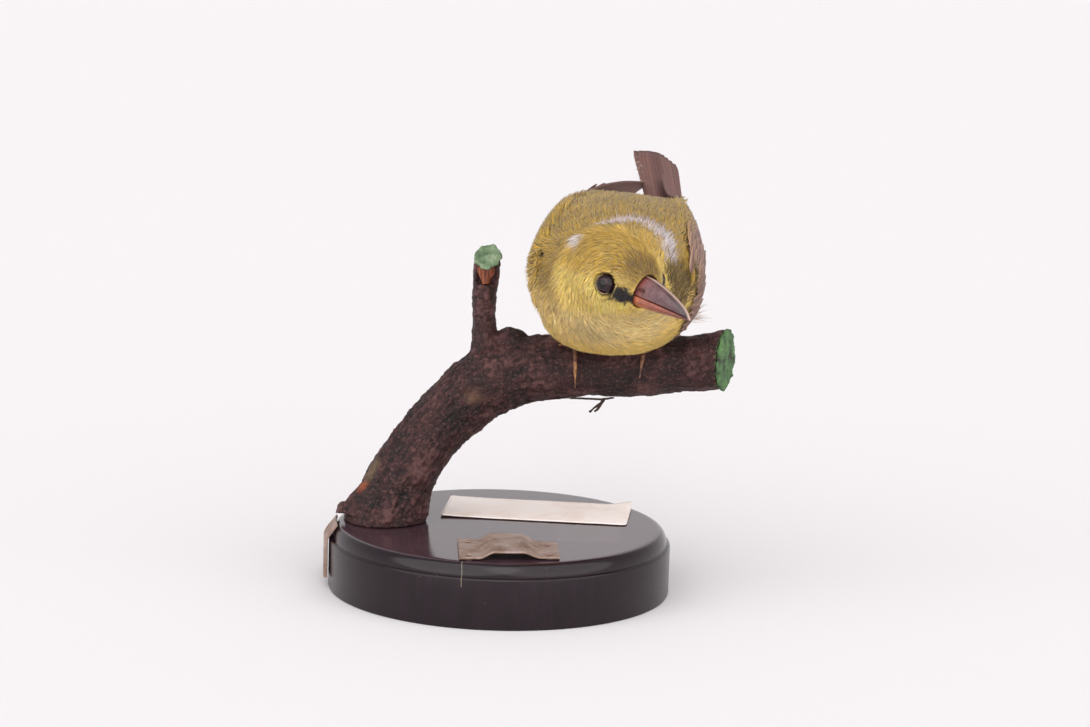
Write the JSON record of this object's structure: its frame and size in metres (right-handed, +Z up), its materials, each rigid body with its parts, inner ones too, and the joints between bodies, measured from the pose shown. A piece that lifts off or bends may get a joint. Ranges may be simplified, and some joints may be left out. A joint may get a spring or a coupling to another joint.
{
  "type": "golden oriole taxidermy",
  "caption": "Stuffed golden oriole in greenish plumage, crouched on a cut branch with its head turned, on a round black plinth.",
  "frame": {"origin": "middle of the plinth's underside", "axes": "+Z up, the bird's body lies along Y with its breast at -Y and its tail at +Y, and +X is the bird's left"},
  "size_m": [0.1658, 0.2329, 0.165],
  "materials": {
    "ebonised_wood": "glossy black stain",
    "bark": "rough, varnished",
    "green_paint": "matt paint on sawn wood",
    "bare_wood": "split, dry",
    "label_paper": "aged, matt",
    "tinplate": "rusty",
    "perch_wire": "dark, twisted",
    "plumage": "soft feathers",
    "flight_feathers": "smooth brown vanes",
    "upper_mandible": "polished horn",
    "lower_mandible": "polished horn",
    "glass_eye": "dark polished glass",
    "foot_skin": "dry scaly skin"
  },
  "bodies": {
    "root": {"plinth": "ebonised_wood", "label": "label_paper", "bracket_top": "tinplate", "bracket_side": "tinplate", "branch": "bark", "branch_end_paint": "green_paint", "twig": "bark", "twig_bare_wood": "bare_wood", "twig_paint": "green_paint", "perch_wire": "perch_wire", "leg_right": "foot_skin", "leg_left": "foot_skin", "head": "plumage", "neck": "plumage", "trunk": "plumage", "bill_upper": "upper_mandible", "bill_lower": "lower_mandible", "eye_right": "glass_eye", "eye_left": "glass_eye", "wing_left": "flight_feathers", "wing_right": "flight_feathers", "tail": "flight_feathers"}
  },
  "joints": []
}
